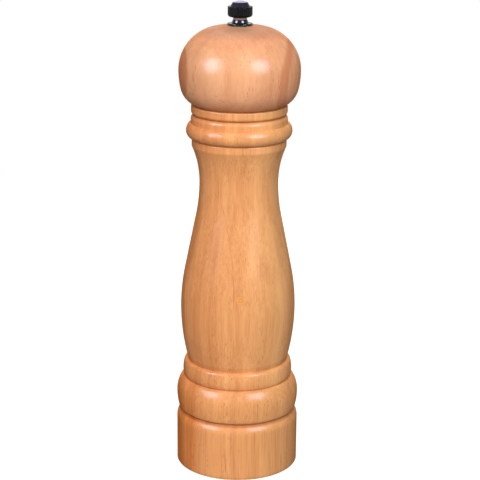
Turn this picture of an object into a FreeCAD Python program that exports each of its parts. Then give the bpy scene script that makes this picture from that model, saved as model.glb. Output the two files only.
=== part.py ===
import FreeCAD, Part
import math
import os
import re
import Sketcher

# A turned wooden pepper mill, in millimetres, standing on z = 0 with its axis on Z.
# The wooden body carries a screwed-in grinder. The wooden head turns a square shaft, the shaft turns
# the cone burr, and the knob on the shaft's thread draws the burr up into its ring.

SIZES = {
    # Wooden body, outside, from the foot up: heights stack, and depths and swells are radial.
    "base_radius": 30.0,
    "foot_chamfer": 0.5,
    "plinth_height": 28.2,
    "plinth_groove_depth": 2.85,
    "plinth_shoulder": 6.3,
    "foot_bead_height": 16.9,
    "foot_bead_rise": 8.4,
    "foot_bead_swell": 2.8,
    "foot_bead_lower_edge": 2.1,
    "foot_bead_upper_edge": 2.5,
    "ring_groove_step": 1.45,
    "ring_height": 8.65,
    "ring_rise": 3.0,
    "ring_swell": 1.15,
    "ring_lower_edge": 0.7,
    "ring_upper_edge": 1.9,
    "ring_ledge": 2.42,
    "belly_swell": 3.5,
    "belly_rise": 26.6,
    "belly_to_waist": 62.8,
    "flank_length": 26.9,
    "belly_share": 0.54,
    "waist_radius": 18.94,
    "waist_to_lip": 17.5,
    "lip_flare": 3.7,
    "lip_height": 3.4,
    "collar_groove_depth": 0.72,
    "collar_bead_height": 7.65,
    "collar_bead_rise": 3.9,
    "collar_bead_swell": 3.4,
    "collar_bead_lower_edge": 2.0,
    "collar_bead_upper_edge": 1.5,
    "neck_step": 1.15,
    "neck_height": 4.15,
    "neck_shoulder": 2.4,
    "band_groove_depth": 1.5,
    "band_height": 4.2,
    "band_swell": 1.38,
    "band_lower_edge": 1.6,
    "band_upper_edge": 0.4,
    # Wooden body, inside.
    "chamber_radius": 14.0,
    "mouth_chamfer": 0.6,
    # Wooden head: an oval ball on a tenon.
    "head_gap": 0.15,
    "head_radius": 28.86,
    "head_rise": 16.5,
    "head_under_curve": 11.0,
    "head_under_set": 0.71,
    "head_sink": 0.74,
    "head_dome": 21.35,
    "head_crown": 63.9,
    "head_flat_depth": 0.4,
    "tenon_length": 10.0,
    "tenon_clearance": 0.3,
    "tenon_chamfer": 0.8,
    # Square shaft with a threaded top end and a turned lower end.
    "shaft_side": 6.0,
    "shaft_clearance": 0.1,
    "head_bore_clearance": 0.35,
    "thread_diameter": 5.0,
    "thread_pitch": 0.8,
    "thread_clearance": 0.08,
    "thread_chamfer": 0.6,
    "shoulder_gap": 2.0,
    "stub_radius": 2.6,
    "stub_tip": 1.2,
    "stub_chamfer": 0.4,
    "clip_groove_depth": 0.7,
    # Drive plate under the tenon, with its two screws.
    "plate_radius": 12.0,
    "plate_thickness": 1.2,
    "plate_screw_reach": 8.4,
    "plate_screw_radius": 1.3,
    "plate_screw_length": 8.0,
    "plate_screw_head_radius": 2.4,
    "plate_screw_head_height": 1.5,
    # Collar on top of the head.
    "flange_radius": 6.0,
    "flange_thickness": 1.1,
    "flange_edge": 0.35,
    "collar_foot_radius": 4.4,
    "collar_rim_radius": 3.55,
    "collar_neck_hollow": 0.25,
    "collar_height": 2.6,
    "spigot_length": 4.0,
    "spigot_clearance": 0.03,
    "rim_edge": 0.25,
    # Knurled knob with its threaded insert.
    "knob_gap": 0.1,
    "knob_hub_radius": 3.3,
    "knob_hub_height": 1.2,
    "knob_radius": 5.83,
    "knob_grip_height": 4.9,
    "knob_lower_edge": 1.3,
    "knob_rim_bevel": 0.25,
    "knob_cone_foot_radius": 4.6,
    "knob_cone_top_radius": 3.55,
    "knob_cone_height": 2.0,
    "knob_cone_edge": 0.35,
    "knob_dome_height": 0.7,
    "knob_roof": 1.5,
    "knurl_count": 36,
    "knurl_depth": 0.22,
    "insert_wall": 1.0,
    "insert_length": 4.0,
    "insert_cover": 0.5,
    "insert_clearance": 0.02,
    # Grinder housing in the base.
    "recess_depth": 3.0,
    "grinder_flange_width": 6.0,
    "grinder_flange_thickness": 2.0,
    "grinder_clearance": 0.2,
    "housing_radius": 19.0,
    "housing_wall": 1.6,
    "housing_height": 24.5,
    "bridge_thickness": 2.5,
    "bridge_hub_radius": 8.4,
    "bridge_rim_width": 1.6,
    "spoke_count": 3,
    "spoke_half_angle": 13.0,
    "housing_screw_count": 3,
    "housing_screw_radius": 1.45,
    "housing_screw_length": 10.0,
    "housing_screw_head_radius": 2.5,
    "housing_screw_head_height": 1.6,
    "screw_clearance": 0.15,
    "pilot_clearance": 0.03,
    "slot_width": 0.6,
    "slot_depth": 0.6,
    # Ring burr and the ring that keeps it in.
    "stator_wall": 2.45,
    "stator_height": 10.0,
    "stator_clearance": 0.1,
    "grind_zone_height": 4.0,
    "grind_zone_spread": 3.0,
    "throat_flare": 1.2,
    "stator_tooth_depth": 0.6,
    "keeper_height": 1.8,
    "keeper_width": 1.9,
    # Cone burr, its hub, washer and clip.
    "coarse_gap": 0.95,
    "adjust_travel": 1.0,
    "rotor_skirt": 2.0,
    "rotor_skirt_edge": 0.8,
    "rotor_top_radius": 7.6,
    "rotor_nose_height": 7.0,
    "rotor_tooth_depth": 0.6,
    "tooth_count": 24,
    "tooth_lean": 12.0,
    "flute_count": 6,
    "flute_depth": 1.1,
    "flute_lean": 40.0,
    "hub_wall": 1.3,
    "hub_clearance": 0.05,
    "hub_crown": 0.5,
    "washer_radius": 7.2,
    "washer_thickness": 0.9,
    "clip_radius": 4.6,
    "clip_thickness": 0.6,
    "clip_gap_width": 2.6,
    "clip_clearance": 0.04,
    # Bush that turns in the bridge, and the spring under it.
    "bush_wall": 1.3,
    "bush_clearance": 0.08,
    "bush_flange_radius": 7.6,
    "bush_flange_thickness": 0.7,
    "bush_lift": 0.05,
    "spring_wire": 0.9,
    "spring_clearance": 0.3,
    "spring_turns": 3.5,
    "spring_end_gap": 0.06,
}

# Radii and levels worked out from the sizes above, each from the pieces that it rests on or fits.
WORKED = {
    "plinth_groove_radius": "base_radius - plinth_groove_depth",
    "foot_bead_radius": "plinth_groove_radius + foot_bead_swell",
    "ring_groove_radius": "plinth_groove_radius - ring_groove_step",
    "ring_radius": "ring_groove_radius + ring_swell",
    "vase_foot_radius": "ring_radius - ring_ledge",
    "belly_radius": "vase_foot_radius + belly_swell",
    "lip_radius": "waist_radius + lip_flare",
    "collar_groove_radius": "lip_radius - collar_groove_depth",
    "collar_bead_radius": "collar_groove_radius + collar_bead_swell",
    "neck_radius": "collar_groove_radius + neck_step",
    "band_groove_radius": "neck_radius - band_groove_depth",
    "band_radius": "band_groove_radius + band_swell",
    "ring_groove_level": "plinth_height + foot_bead_height",
    "vase_foot_level": "ring_groove_level + ring_height",
    "belly_level": "vase_foot_level + belly_rise",
    "waist_level": "belly_level + belly_to_waist",
    "lip_level": "waist_level + waist_to_lip",
    "collar_groove_level": "lip_level + lip_height",
    "neck_level": "collar_groove_level + collar_bead_height",
    "band_groove_level": "neck_level + neck_height",
    "body_height": "band_groove_level + band_height",
    "draw_in": "belly_radius - waist_radius",
    "curves": "(draw_in ^ 2 + belly_to_waist ^ 2 - flank_length ^ 2) / (2 * draw_in)",
    "belly_curve": "belly_share * curves",
    "waist_curve": "curves - belly_curve",
    "flank_lean": "atan(belly_to_waist / (curves - draw_in)) - atan(flank_length / curves)",
    "grinder_flange_radius": "housing_radius + grinder_flange_width",
    "housing_screw_circle": "housing_radius + grinder_flange_width / 2",
    "recess_radius": "grinder_flange_radius + grinder_clearance",
    "recess_level": "recess_depth + grinder_flange_thickness",
    "counterbore_radius": "housing_radius + grinder_clearance",
    "housing_top": "recess_depth + housing_height",
    "counterbore_level": "housing_top + grinder_clearance",
    "head_level": "body_height + head_gap",
    "head_widest_level": "head_level + head_rise",
    "head_top": "head_widest_level + head_dome",
    "head_pole_radius": "head_radius - head_under_curve - head_under_set",
    "head_side_curve":
        "(2 * head_dome * head_crown - head_dome ^ 2 - head_radius ^ 2) / (2 * (head_crown - head_radius))",
    "collar_level": "head_top - head_flat_depth",
    "tenon_radius": "chamber_radius - tenon_clearance",
    "tenon_level": "head_level - tenon_length",
    "shaft_corner": "shaft_side * sqrt(2) / 2",
    "head_bore": "shaft_corner + head_bore_clearance",
    "thread_radius": "thread_diameter / 2",
    "threaded_bore": "thread_radius + thread_clearance",
    "square_hole": "shaft_side + 2 * shaft_clearance",
    "square_hole_corner": "square_hole * sqrt(2) / 2",
    "plate_level": "tenon_level - plate_thickness",
    "flange_top": "collar_level + flange_thickness",
    "rim_level": "collar_level + collar_height",
    "spigot_level": "collar_level - spigot_length",
    "knob_level": "rim_level + knob_gap",
    "grip_level": "knob_level + knob_hub_height",
    "grip_top": "grip_level + knob_grip_height",
    "cone_top": "grip_top + knob_cone_height",
    "knob_top": "cone_top + knob_dome_height",
    "insert_radius": "threaded_bore + insert_wall",
    "insert_level": "grip_level + insert_cover",
    "insert_top": "insert_level + insert_length",
    "knob_bore_top": "knob_top - knob_roof",
    "square_top": "spigot_level - shoulder_gap - adjust_travel",
    "thread_top": "insert_top",
    "pocket_radius": "housing_radius - housing_wall",
    "stator_radius": "pocket_radius - stator_clearance",
    "keeper_level": "recess_level + grinder_clearance",
    "stator_level": "keeper_level + keeper_height",
    "stator_top": "stator_level + stator_height",
    "ledge_radius": "pocket_radius - housing_wall",
    "stator_mouth": "stator_radius - stator_wall",
    "throat_radius": "stator_mouth - grind_zone_spread",
    "throat_level": "stator_level + grind_zone_height",
    "grind_slope": "grind_zone_spread / grind_zone_height",
    "rotor_level": "stator_level - rotor_skirt",
    "rotor_widest": "stator_mouth - coarse_gap + grind_slope * (rotor_skirt - rotor_skirt_edge)",
    "rotor_widest_level": "rotor_level + rotor_skirt_edge",
    "rotor_throat": "throat_radius - coarse_gap",
    "rotor_top": "throat_level + rotor_nose_height",
    "hub_radius": "square_hole_corner + hub_wall",
    "rotor_bore": "hub_radius + hub_clearance",
    "hub_top": "rotor_top + hub_crown",
    "washer_level": "rotor_level - washer_thickness",
    "clip_level": "washer_level - clip_thickness",
    "stub_level": "clip_level - stub_tip",
    "clip_groove_radius": "stub_radius - clip_groove_depth",
    "bush_radius": "square_hole_corner + bush_wall",
    "bridge_bore": "bush_radius + bush_clearance",
    "bridge_level": "housing_top - bridge_thickness",
    "bush_seat": "bridge_level - bush_lift",
    "bush_level": "bush_seat - bush_flange_thickness",
    "spring_radius": "shaft_corner + spring_clearance + spring_wire / 2",
    "spring_bottom": "hub_top + spring_end_gap + spring_wire / 2",
    "spring_top": "bush_level - spring_end_gap - spring_wire / 2",
    "window_outer": "ledge_radius - bridge_rim_width / 2",
    "window_half_angle": "180 / spoke_count - spoke_half_angle",
}

doc = FreeCAD.newDocument("pepper_mill")
sheet = doc.addObject("Spreadsheet::Sheet", "Sizes")
worked = doc.addObject("Spreadsheet::Sheet", "Worked")
WORD = re.compile(r"[a-z][a-z_]*")


def bound(expression):
    """The expression with each size and worked value pointed at its sheet."""

    def cell(word):
        name = word.group(0)
        if name in SIZES:
            return "Sizes." + name
        return "Worked." + name if name in WORKED else name

    return WORD.sub(cell, str(expression))


def fill_sheets():
    """One row for each value: its name, and the number or the formula beside it."""
    for row, (name, value) in enumerate(SIZES.items(), 1):
        sheet.set(f"A{row}", name)
        sheet.set(f"B{row}", str(value))
        sheet.setAlias(f"B{row}", name)
    doc.recompute()
    for row, (name, formula) in enumerate(WORKED.items(), 1):
        worked.set(f"A{row}", name)
        worked.setAlias(f"B{row}", name)
        worked.set(f"B{row}", "=" + bound(formula).replace("Worked.", ""))
        doc.recompute()


def value(expression):
    """What an expression of sizes comes to."""
    return float(sheet.evalExpression(bound(expression)))


def origin_plane(body, role):
    return next(plane for plane in body.Origin.OriginFeatures if plane.Role == role)


def oval(groove, widest, edge, side):
    """A quarter oval's meeting point and crown radius: an edge arc, level at the groove, runs smoothly
    into a crown arc, upright at the widest place. side is "-" for a groove below that place, "+" above."""
    rise = f"abs(({widest[1]}) - ({groove[1]}))"
    swell = f"(({widest[0]}) - ({groove[0]}))"
    crown = f"(({swell} ^ 2 + {rise} ^ 2 - 2 * {rise} * {edge}) / (2 * ({swell} - {edge})))"
    share = f"({crown} / ({crown} - {edge}))"
    meet_across = f"{widest[0]} - {crown} + ({crown} - {swell}) * {share}"
    meet_along = f"{widest[1]} {side} ({rise} - {edge}) * {share}"
    return (meet_across, meet_along), crown


class Outline:
    """A closed outline of corners joined by straight edges and arcs, walked anticlockwise."""

    def __init__(self, across, along):
        self.corners = [(across, along)]
        self.edges = []

    def line(self, across, along):
        self.corners.append((across, along))
        self.edges.append(None)
        return self

    def arc(self, across, along, radius, turn=1):
        """An arc to the next corner: turn is 1 with its centre on the left, and -1 on the right."""
        self.corners.append((across, along))
        self.edges.append((radius, turn))
        return self

    def swelling(self, widest, edge):
        """Two tangent arcs from the groove reached so far, level there, out and up to the widest place."""
        meet, crown = oval(self.corners[-1], widest, edge, "-")
        return self.arc(*meet, edge).arc(*widest, crown)

    def returning(self, groove, edge):
        """Two tangent arcs from the widest place reached so far, in and up to a groove, level there."""
        meet, crown = oval(groove, self.corners[-1], edge, "+")
        return self.arc(*meet, crown).arc(*groove, edge)

    def close(self):
        self.edges.append(None)
        return self


def arc_geometry(start, end, radius, turn):
    """The arc of under a half circle from start to end, as the sketch stores it, anticlockwise."""
    chord = end.sub(start)
    half = chord.Length / 2
    left = FreeCAD.Vector(-chord.y, chord.x, 0).normalize()
    middle = start.add(end).multiply(0.5)
    depth = math.sqrt(max(radius * radius - half * half, 0.0))
    centre = middle.add(left.multiply(turn * depth))
    first, last = (start, end) if turn > 0 else (end, start)
    angles = [math.atan2(point.y - centre.y, point.x - centre.x) for point in (first, last)]
    circle = Part.Circle(centre, FreeCAD.Vector(0, 0, 1), radius)
    return Part.ArcOfCircle(circle, angles[0], angles[1])


def draw(sketch, outline):
    """Draws an outline in a sketch, with every corner and every arc held to its expression."""
    points = [FreeCAD.Vector(value(x), value(y), 0) for x, y in outline.corners]
    count = len(points)
    shapes = []
    starts = []
    ends = []
    for index, edge in enumerate(outline.edges):
        start, end = points[index], points[(index + 1) % count]
        turn = edge[1] if edge else 1
        if edge:
            shapes.append(arc_geometry(start, end, value(edge[0]), turn))
        else:
            shapes.append(Part.LineSegment(start, end))
        starts.append(1 if turn > 0 else 2)
        ends.append(2 if turn > 0 else 1)
    first = sketch.addGeometry(shapes)[0]
    constraints = []
    formulas = {}
    for index, edge in enumerate(outline.edges):
        following = (index + 1) % count
        joined = (first + index, ends[index], first + following, starts[following])
        constraints.append(Sketcher.Constraint("Coincident", *joined))
        for kind, formula in zip(("DistanceX", "DistanceY"), outline.corners[index]):
            formulas[len(constraints)] = formula
            constraints.append(
                Sketcher.Constraint(kind, -1, 1, first + index, starts[index], value(formula))
            )
        if edge:
            formulas[len(constraints)] = edge[0]
            constraints.append(Sketcher.Constraint("Radius", first + index, value(edge[0])))
    base = sketch.ConstraintCount
    sketch.addConstraint(constraints)
    for place, formula in formulas.items():
        name = f"size{base + place}"
        sketch.renameConstraint(base + place, name)
        sketch.setExpression(f"Constraints.{name}", bound(formula))


def sketch_on(body, name, role, level=None):
    """A new sketch on one of the body's own planes, raised to a level where one is given."""
    sketch = body.newObject("Sketcher::SketchObject", name)
    sketch.AttachmentSupport = [(origin_plane(body, role), "")]
    sketch.MapMode = "FlatFace"
    if level is not None:
        sketch.setExpression("AttachmentOffset.Base.z", bound(level))
    doc.recompute()
    return sketch


def new_body(label):
    body = doc.addObject("PartDesign::Body", label)
    body.Label = label
    return body


def turned(label, outline):
    """A body turned about Z from an outline whose corners are (radius, level)."""
    body = new_body(label)
    sketch = sketch_on(body, label + "_profile", "XZ_Plane")
    draw(sketch, outline)
    turn = body.newObject("PartDesign::Revolution", label + "_turned")
    turn.Profile = sketch
    turn.ReferenceAxis = (sketch, ["V_Axis"])
    turn.Angle = 360.0
    doc.recompute()
    return body


def cut_from_above(body, name, level, depth, outlines):
    """A pocket of the given depth, cut down from a level."""
    before = body.Shape.Volume
    sketch = sketch_on(body, name + "_outline", "XY_Plane", level)
    for outline in outlines:
        draw(sketch, outline)
    pocket = body.newObject("PartDesign::Pocket", name)
    pocket.Profile = sketch
    pocket.setExpression("Length", bound(depth))
    doc.recompute()
    if body.Shape.Volume >= before:
        raise RuntimeError(f"{name} cuts nothing")
    return pocket


def repeated(body, feature, name, count):
    """The feature, repeated evenly about Z."""
    before = body.Shape.Volume
    ring = body.newObject("PartDesign::PolarPattern", name)
    ring.Originals = [feature]
    ring.Axis = (feature.Profile[0], ["N_Axis"])
    ring.Angle = 360.0
    ring.setExpression("Occurrences", bound(count))
    body.Tip = ring
    doc.recompute()
    if body.Shape.Volume >= before:
        raise RuntimeError(f"{name} cuts nothing")
    return ring


def circle_outline(across, along, radius):
    """A circle of four quarter arcs about its centre."""
    places = ((1, 0), (0, 1), (-1, 0), (0, -1))
    corners = [(f"{across} + {x} * {radius}", f"{along} + {y} * {radius}") for x, y in places]
    outline = Outline(*corners[0])
    for corner in corners[1:] + corners[:1]:
        outline.arc(*corner, radius)
    outline.corners.pop()
    return outline


def square_outline(side):
    low, high = f"-{side} / 2", f"{side} / 2"
    return box_outline(low, high, low, high)


def box_outline(left, right, low, high):
    """A rectangle, which is also the section of a plain ring, washer or tube."""
    return Outline(left, low).line(right, low).line(right, high).line(left, high).close()


def polar(radius, angle):
    return f"{radius} * cos({angle})", f"{radius} * sin({angle})"


def rise_of(depth, radius):
    """How far an arc runs along a wall that it leaves smoothly, to reach a depth."""
    return f"sqrt(({depth}) * (2 * {radius} - ({depth})))"


fill_sheets()


# Body: one turned piece of hardwood, bored through for the peppercorns and counterbored for the grinder.
def mill_body():
    shoulder = rise_of("plinth_groove_depth", "plinth_shoulder")
    neck_round = rise_of("band_groove_depth", "neck_shoulder")
    band_round = rise_of("band_swell", "band_lower_edge")
    belly_lower_curve = "(belly_swell ^ 2 + belly_rise ^ 2) / (2 * belly_swell)"
    flare_curve = "(lip_flare ^ 2 + waist_to_lip ^ 2) / (2 * lip_flare)"
    outline = Outline("recess_radius", 0)
    outline.line("base_radius - foot_chamfer", 0)
    outline.line("base_radius", "foot_chamfer")
    outline.line("base_radius", f"plinth_height - {shoulder}")
    outline.arc("plinth_groove_radius", "plinth_height", "plinth_shoulder")
    outline.swelling(("foot_bead_radius", "plinth_height + foot_bead_rise"), "foot_bead_lower_edge")
    outline.returning(("ring_groove_radius", "ring_groove_level"), "foot_bead_upper_edge")
    outline.swelling(("ring_radius", "ring_groove_level + ring_rise"), "ring_lower_edge")
    outline.returning(("vase_foot_radius", "vase_foot_level"), "ring_upper_edge")
    outline.arc("belly_radius", "belly_level", belly_lower_curve)
    outline.arc(
        "belly_radius - belly_curve * (1 - cos(flank_lean))",
        "belly_level + belly_curve * sin(flank_lean)",
        "belly_curve",
    )
    outline.line(
        "waist_radius + waist_curve * (1 - cos(flank_lean))",
        "waist_level - waist_curve * sin(flank_lean)",
    )
    outline.arc("waist_radius", "waist_level", "waist_curve", -1)
    outline.arc("lip_radius", "lip_level", flare_curve, -1)
    outline.line("lip_radius", "collar_groove_level - collar_groove_depth")
    outline.arc("collar_groove_radius", "collar_groove_level", "collar_groove_depth")
    bead_widest = ("collar_bead_radius", "collar_groove_level + collar_bead_rise")
    outline.swelling(bead_widest, "collar_bead_lower_edge")
    outline.returning(("neck_radius", "neck_level"), "collar_bead_upper_edge")
    outline.line("neck_radius", f"band_groove_level - {neck_round}")
    outline.arc("band_groove_radius", "band_groove_level", "neck_shoulder")
    outline.arc("band_radius", f"band_groove_level + {band_round}", "band_lower_edge")
    outline.line("band_radius", "body_height - band_upper_edge")
    outline.arc("band_radius - band_upper_edge", "body_height", "band_upper_edge")
    outline.line("chamber_radius + mouth_chamfer", "body_height")
    outline.line("chamber_radius", "body_height - mouth_chamfer")
    outline.line("chamber_radius", "counterbore_level")
    outline.line("counterbore_radius", "counterbore_level")
    outline.line("counterbore_radius", "recess_level")
    outline.line("recess_radius", "recess_level")
    body = turned("mill_body", outline.close())
    pilot_depth = "housing_screw_length - grinder_flange_thickness"
    pilot = circle_outline("housing_screw_circle", 0, "(housing_screw_radius + pilot_clearance)")
    hole = cut_from_above(body, "screw_pilot", f"recess_level + {pilot_depth}", pilot_depth, [pilot])
    repeated(body, hole, "screw_pilots", "housing_screw_count")
    return body


# Head: an oval ball with a tenon that drops into the body's mouth, bored through for the shaft.
def mill_head():
    flat_radius = rise_of("head_flat_depth", "head_crown")
    side_centre = "(head_radius - head_side_curve)"
    crown_share = "(head_crown / (head_crown - head_side_curve))"
    outline = Outline("head_bore", "tenon_level")
    outline.line("tenon_radius - tenon_chamfer", "tenon_level")
    outline.line("tenon_radius", "tenon_level + tenon_chamfer")
    outline.line("tenon_radius", "head_level")
    outline.line(f"head_pole_radius + {rise_of('head_sink', 'head_under_curve')}", "head_level")
    widest = ("head_radius", "head_widest_level")
    meet, crown = oval(("head_pole_radius", "head_level - head_sink"), widest, "head_under_curve", "-")
    outline.arc(*meet, "head_under_curve")
    outline.arc(*widest, crown)
    outline.arc(
        f"{side_centre} * {crown_share}",
        f"head_top - head_crown + (head_crown - head_dome) * {crown_share}",
        "head_side_curve",
    )
    outline.arc(flat_radius, "collar_level", "head_crown")
    outline.line("head_bore", "collar_level")
    body = turned("mill_head", outline.close())
    pilots = [
        circle_outline(f"{side} * plate_screw_reach", 0, "(plate_screw_radius + pilot_clearance)")
        for side in (-1, 1)
    ]
    pilot_depth = "plate_screw_length - plate_thickness"
    cut_from_above(body, "plate_screw_pilots", f"tenon_level + {pilot_depth}", pilot_depth, pilots)
    return body


# Collar: a moulded flange with a hollow-sided neck, pressed into the head's bore by its spigot.
def head_collar():
    drop = "(collar_height - flange_thickness - rim_edge)"
    spread = "(collar_foot_radius - collar_rim_radius)"
    chord = f"sqrt({drop} ^ 2 + {spread} ^ 2)"
    hollow = f"({chord} ^ 2 / (8 * collar_neck_hollow) + collar_neck_hollow / 2)"
    spigot = "head_bore - spigot_clearance"
    outline = Outline("threaded_bore", "spigot_level")
    outline.line(spigot, "spigot_level")
    outline.line(spigot, "collar_level")
    outline.line("flange_radius", "collar_level")
    outline.line("flange_radius", "flange_top - flange_edge")
    outline.arc("flange_radius - flange_edge", "flange_top", "flange_edge")
    outline.line("collar_foot_radius", "flange_top")
    outline.arc("collar_rim_radius", "rim_level - rim_edge", hollow, -1)
    outline.arc("collar_rim_radius - rim_edge", "rim_level", "rim_edge")
    outline.line("threaded_bore", "rim_level")
    return turned("head_collar", outline.close())


# Knob: a knurled grip on a short hub, with a conical crown and a low dome.
def adjusting_knob():
    dome_radius = "(knob_cone_top_radius - knob_cone_edge)"
    dome_curve = f"({dome_radius} ^ 2 + knob_dome_height ^ 2) / (2 * knob_dome_height)"
    insert_hole = "insert_radius + insert_clearance"
    outline = Outline("threaded_bore", "knob_level")
    outline.line("knob_hub_radius", "knob_level")
    outline.line("knob_hub_radius", "grip_level")
    outline.line("knob_radius - knob_lower_edge", "grip_level")
    outline.arc("knob_radius", "grip_level + knob_lower_edge", "knob_lower_edge")
    outline.line("knob_radius", "grip_top - knob_rim_bevel")
    outline.line("knob_radius - knob_rim_bevel", "grip_top")
    outline.line("knob_cone_foot_radius", "grip_top")
    outline.line("knob_cone_top_radius", "cone_top - knob_cone_edge")
    outline.arc("knob_cone_top_radius - knob_cone_edge", "cone_top", "knob_cone_edge")
    outline.arc(0, "knob_top", dome_curve)
    outline.line(0, "knob_bore_top")
    outline.line("threaded_bore", "knob_bore_top")
    outline.line("threaded_bore", "insert_top")
    outline.line(insert_hole, "insert_top")
    outline.line(insert_hole, "insert_level")
    outline.line("threaded_bore", "insert_level")
    body = turned("adjusting_knob", outline.close())
    notch = Outline("knob_radius - knurl_depth", 0)
    notch.line("knob_radius + knurl_depth", "-2 * knurl_depth")
    notch.line("knob_radius + knurl_depth", "2 * knurl_depth")
    cut = cut_from_above(body, "knurl", "grip_top", "knob_grip_height", [notch.close()])
    repeated(body, cut, "knurls", "knurl_count")
    return body


# Insert: a brass sleeve with the thread, moulded into the knob's grip.
def knob_insert():
    return turned("knob_insert", box_outline("threaded_bore", "insert_radius", "insert_level", "insert_top"))


# Shaft: a square aluminium bar, turned down for the thread on top and for the clip at its lower end.
def drive_shaft():
    outline = Outline(0, "stub_level")
    outline.line("stub_radius - stub_chamfer", "stub_level")
    outline.line("stub_radius", "stub_level + stub_chamfer")
    outline.line("stub_radius", "clip_level - clip_clearance")
    outline.line("clip_groove_radius", "clip_level - clip_clearance")
    outline.line("clip_groove_radius", "clip_level + clip_thickness")
    outline.line("stub_radius", "clip_level + clip_thickness")
    outline.line("stub_radius", "rotor_level")
    outline.line("thread_radius", "rotor_level")
    outline.line("thread_radius", "thread_top - thread_chamfer")
    outline.line("thread_radius - thread_chamfer", "thread_top")
    outline.line(0, "thread_top")
    body = turned("drive_shaft", outline.close())
    sketch = sketch_on(body, "square_outline", "XY_Plane", "rotor_level")
    draw(sketch, square_outline("shaft_side"))
    bar = body.newObject("PartDesign::Pad", "square_bar")
    bar.Profile = sketch
    bar.setExpression("Length", bound("square_top - rotor_level"))
    doc.recompute()
    return body


# Drive plate: a steel disc with a square hole, screwed under the tenon.
def drive_plate():
    plate = turned("drive_plate", box_outline("thread_radius", "plate_radius", "plate_level", "tenon_level"))
    holes = [square_outline("square_hole")]
    holes += [
        circle_outline(f"{side} * plate_screw_reach", 0, "(plate_screw_radius + screw_clearance)")
        for side in (-1, 1)
    ]
    cut_from_above(plate, "plate_holes", "tenon_level", "plate_thickness", holes)
    return plate


def screw(label, seat, prefix):
    """A slotted round-head screw about Z, its head hanging below a seat level and its tip pointing up."""
    radius = prefix + "_radius"
    length = prefix + "_length"
    head_radius = prefix + "_head_radius"
    head_height = prefix + "_head_height"
    edge = f"{head_height} / 2"
    outline = Outline(0, f"{seat} - {head_height}")
    outline.line(f"{head_radius} - {edge}", f"{seat} - {head_height}")
    outline.arc(head_radius, f"{seat} - {head_height} + {edge}", edge)
    outline.line(head_radius, seat)
    outline.line(radius, seat)
    outline.line(radius, f"{seat} + {length} - 2 * {radius}")
    outline.line(0, f"{seat} + {length}")
    body = turned(label, outline.close())
    slot = box_outline(f"-2 * {head_radius}", f"2 * {head_radius}", "-slot_width / 2", "slot_width / 2")
    cut_from_above(body, label + "_slot", f"{seat} - {head_height} + slot_depth", "slot_depth", [slot])
    return body


def screw_group(label, seat, prefix, places):
    """Like screws at several places, kept as one group of separate solids."""
    members = []
    for number, (across, along) in enumerate(places, 1):
        member = screw(f"{label}_{number}", seat, prefix)
        member.setExpression("Placement.Base.x", bound(across))
        member.setExpression("Placement.Base.y", bound(along))
        members.append(member)
    group = doc.addObject("Part::Compound", label)
    group.Label = label
    group.Links = members
    doc.recompute()
    return group


# Housing: a moulded cup with a screw flange below and a bridge of spokes above, which guides the bush.
def grinder_housing():
    outline = Outline("pocket_radius", "recess_depth")
    outline.line("grinder_flange_radius", "recess_depth")
    outline.line("grinder_flange_radius", "recess_level")
    outline.line("housing_radius", "recess_level")
    outline.line("housing_radius", "housing_top")
    outline.line("bridge_bore", "housing_top")
    outline.line("bridge_bore", "bridge_level")
    outline.line("ledge_radius", "bridge_level")
    outline.line("ledge_radius", "stator_top")
    outline.line("pocket_radius", "stator_top")
    body = turned("grinder_housing", outline.close())
    inner, outer = "bridge_hub_radius", "window_outer"
    right, left = "(90 - window_half_angle)", "(90 + window_half_angle)"
    window = Outline(*polar(inner, right))
    window.line(*polar(outer, right))
    window.arc(*polar(outer, "90"), outer)
    window.arc(*polar(outer, left), outer)
    window.line(*polar(inner, left))
    window.arc(*polar(inner, "90"), inner, -1)
    window.arc(*polar(inner, right), inner, -1)
    window.corners.pop()
    feed = cut_from_above(body, "feed_window", "housing_top", "bridge_thickness", [window])
    repeated(body, feed, "feed_windows", "spoke_count")
    hole_outline = circle_outline("housing_screw_circle", 0, "(housing_screw_radius + screw_clearance)")
    hole = cut_from_above(body, "screw_hole", "recess_level", "grinder_flange_thickness", [hole_outline])
    repeated(body, hole, "screw_holes", "housing_screw_count")
    return body


def lean_cut(body, name, low, high, depth, half_angle, lean, spread):
    """A leaning V cut between two levels: low and high are (radius, level), spread points out or in."""
    sections = []
    for tag, (radius, level), turn in (("low", low, "0"), ("high", high, lean)):
        sketch = sketch_on(body, f"{name}_{tag}", "XY_Plane", level)
        deep = f"({radius} - ({spread}) * {depth})"
        wide = f"({radius} + ({spread}) * {depth})"
        vee = Outline(*polar(deep, turn))
        near, far = (f"({turn} - {half_angle})", f"({turn} + {half_angle})")
        order = (near, far) if spread == "1" else (far, near)
        vee.line(*polar(wide, order[0])).line(*polar(wide, order[1]))
        draw(sketch, vee.close())
        sections.append(sketch)
    before = body.Shape.Volume
    loft = body.newObject("PartDesign::SubtractiveLoft", name)
    loft.Profile = sections[0]
    loft.Sections = sections[1:]
    loft.Ruled = True
    doc.recompute()
    if body.Shape.Volume >= before:
        raise RuntimeError(f"{name} cuts nothing")
    return loft


# Ring burr: a fired ceramic ring, toothed where it narrows, held up against the housing's ledge.
def stator():
    outline = Outline("stator_mouth", "stator_level")
    outline.line("stator_radius", "stator_level")
    outline.line("stator_radius", "stator_top")
    outline.line("throat_radius + throat_flare", "stator_top")
    outline.line("throat_radius", "throat_level")
    body = turned("stator", outline.close())
    low = ("(stator_mouth + grind_slope * stator_tooth_depth)", "stator_level - stator_tooth_depth")
    high = ("(throat_radius - grind_slope * stator_tooth_depth)", "throat_level + stator_tooth_depth")
    half = "(90 / tooth_count)"
    tooth = lean_cut(body, "ring_tooth", low, high, "stator_tooth_depth", half, "tooth_lean", "-1")
    repeated(body, tooth, "ring_teeth", "tooth_count")
    return body


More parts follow.
